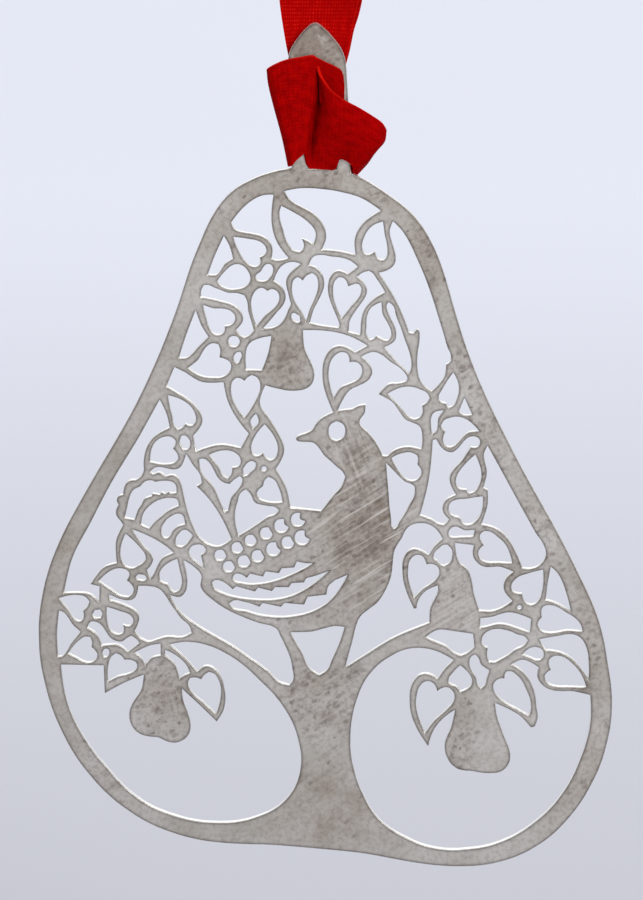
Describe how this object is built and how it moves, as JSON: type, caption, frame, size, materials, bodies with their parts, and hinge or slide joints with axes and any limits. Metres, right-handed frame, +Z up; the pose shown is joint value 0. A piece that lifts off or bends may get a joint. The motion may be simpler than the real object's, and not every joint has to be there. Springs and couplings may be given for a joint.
{
  "type": "pierced christmas tree ornament",
  "caption": "Flat pierced silver pear-shaped ornament with a partridge in a pear tree, hung by its pointed bail on a tied red ribbon loop that twists and swings.",
  "frame": {"origin": "top inside of the ribbon loop, where a twig or a hook carries the ornament", "axes": "+Z up along the hanging ribbon, +X to the right of the picture seen from the front, -Y the front"},
  "size_m": [0.0644, 0.0088, 0.1537],
  "materials": {
    "silver_sheet": "worn silver plate, lightly tarnished",
    "red_ribbon": "plain woven, matt"
  },
  "bodies": {
    "ribbon_loop": {"ribbon_loop": "red_ribbon"},
    "ribbon_neck": {"ribbon_neck": "red_ribbon"},
    "ornament": {"pear_tree_plate": "silver_sheet", "ribbon_tuck": "red_ribbon", "ribbon_left_turn": "red_ribbon", "ribbon_right_turn": "red_ribbon", "ribbon_bight": "red_ribbon"}
  },
  "joints": [
    {"name": "ribbon_twist", "type": "hinge", "parent": "ribbon_loop", "child": "ribbon_neck", "pos_m": [0, 0, -0.0462], "axis": [0, 0, 1], "range_deg": [-150, 150], "stiffness_Nm_per_rad": 0.00002},
    {"name": "ornament_swing", "type": "hinge", "parent": "ribbon_neck", "child": "ornament", "pos_m": [0, 0, -0.0549], "axis": [1, 0, 0], "range_deg": [-75, 75]}
  ]
}
